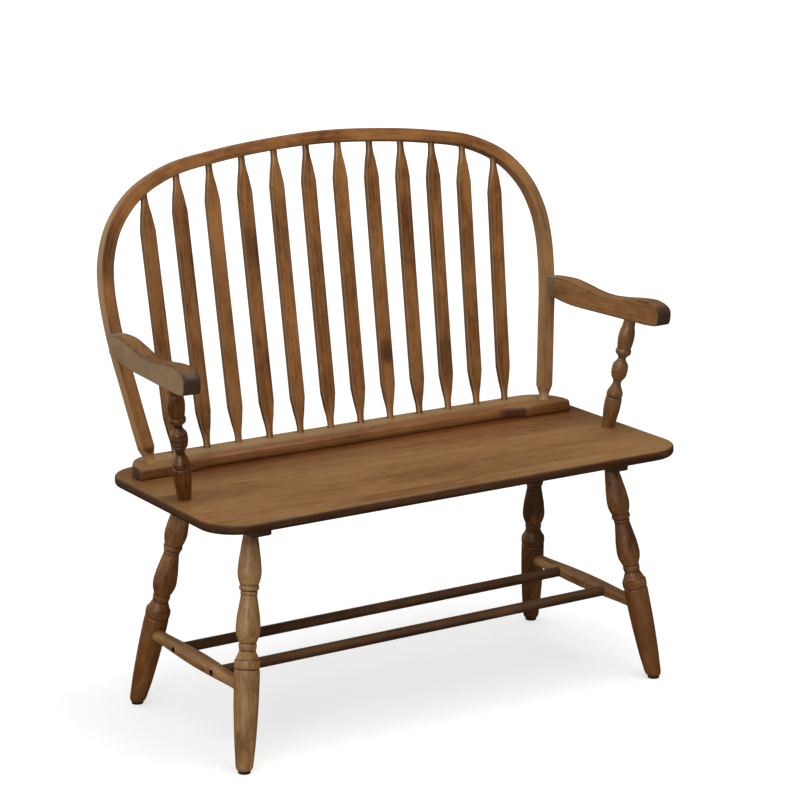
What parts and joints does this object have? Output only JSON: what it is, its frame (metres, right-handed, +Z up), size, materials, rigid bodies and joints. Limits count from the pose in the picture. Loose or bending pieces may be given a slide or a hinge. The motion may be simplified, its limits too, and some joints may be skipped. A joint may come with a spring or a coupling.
{
  "type": "deacons bench",
  "caption": "Wide wooden seat bench with a bent bow back of flat arrow spindles, scooped arms on turned posts, and splayed turned legs joined by stretchers.",
  "frame": {"origin": "centre of the bench's footprint: the middle of its overall box in X and Y, at floor level under the glides", "axes": "+X along the bench to the right as seen from the front, -Y the front where a sitter's knees are, +Z up"},
  "size_m": [1.0268, 0.5084, 1.0196],
  "materials": {
    "seat_wood": "satin brown stain with the grain along the bench",
    "back_wood": "satin reddish brown stain",
    "arm_wood": "satin greyish brown stain, darker on end grain",
    "leg_wood": "satin brown stain, darker in the turned grooves",
    "dark_wood": "dark brown stain",
    "glide_plastic": "matte black",
    "steel": "dark plated screw steel"
  },
  "bodies": {
    "root": {"arm_left": "arm_wood", "arm_post_left": "arm_wood", "arm_post_right": "arm_wood", "arm_right": "arm_wood", "arm_screw_left": "steel", "arm_screw_right": "steel", "back_bow": "back_wood", "back_rail": "seat_wood", "cleat_left": "dark_wood", "cleat_right": "dark_wood", "cleat_screw_left_back": "steel", "cleat_screw_left_front": "steel", "cleat_screw_right_back": "steel", "cleat_screw_right_front": "steel", "glide_back_left": "glide_plastic", "glide_back_right": "glide_plastic", "glide_front_left": "glide_plastic", "glide_front_right": "glide_plastic", "leg_back_left": "leg_wood", "leg_back_right": "leg_wood", "leg_front_left": "leg_wood", "leg_front_right": "leg_wood", "long_stretcher_back": "dark_wood", "long_stretcher_front": "dark_wood", "rail_screw_1": "steel", "rail_screw_2": "steel", "rail_screw_3": "steel", "rail_screw_4": "steel", "rail_screw_5": "steel", "seat": "seat_wood", "side_stretcher_left": "leg_wood", "side_stretcher_right": "leg_wood", "spindle_01": "back_wood", "spindle_02": "back_wood", "spindle_03": "back_wood", "spindle_04": "back_wood", "spindle_05": "back_wood", "spindle_06": "back_wood", "spindle_07": "back_wood", "spindle_08": "back_wood", "spindle_09": "back_wood", "spindle_10": "back_wood", "spindle_11": "back_wood", "spindle_12": "back_wood", "stretcher_screw_back_left": "steel", "stretcher_screw_back_right": "steel", "stretcher_screw_front_left": "steel", "stretcher_screw_front_right": "steel"}
  },
  "joints": []
}
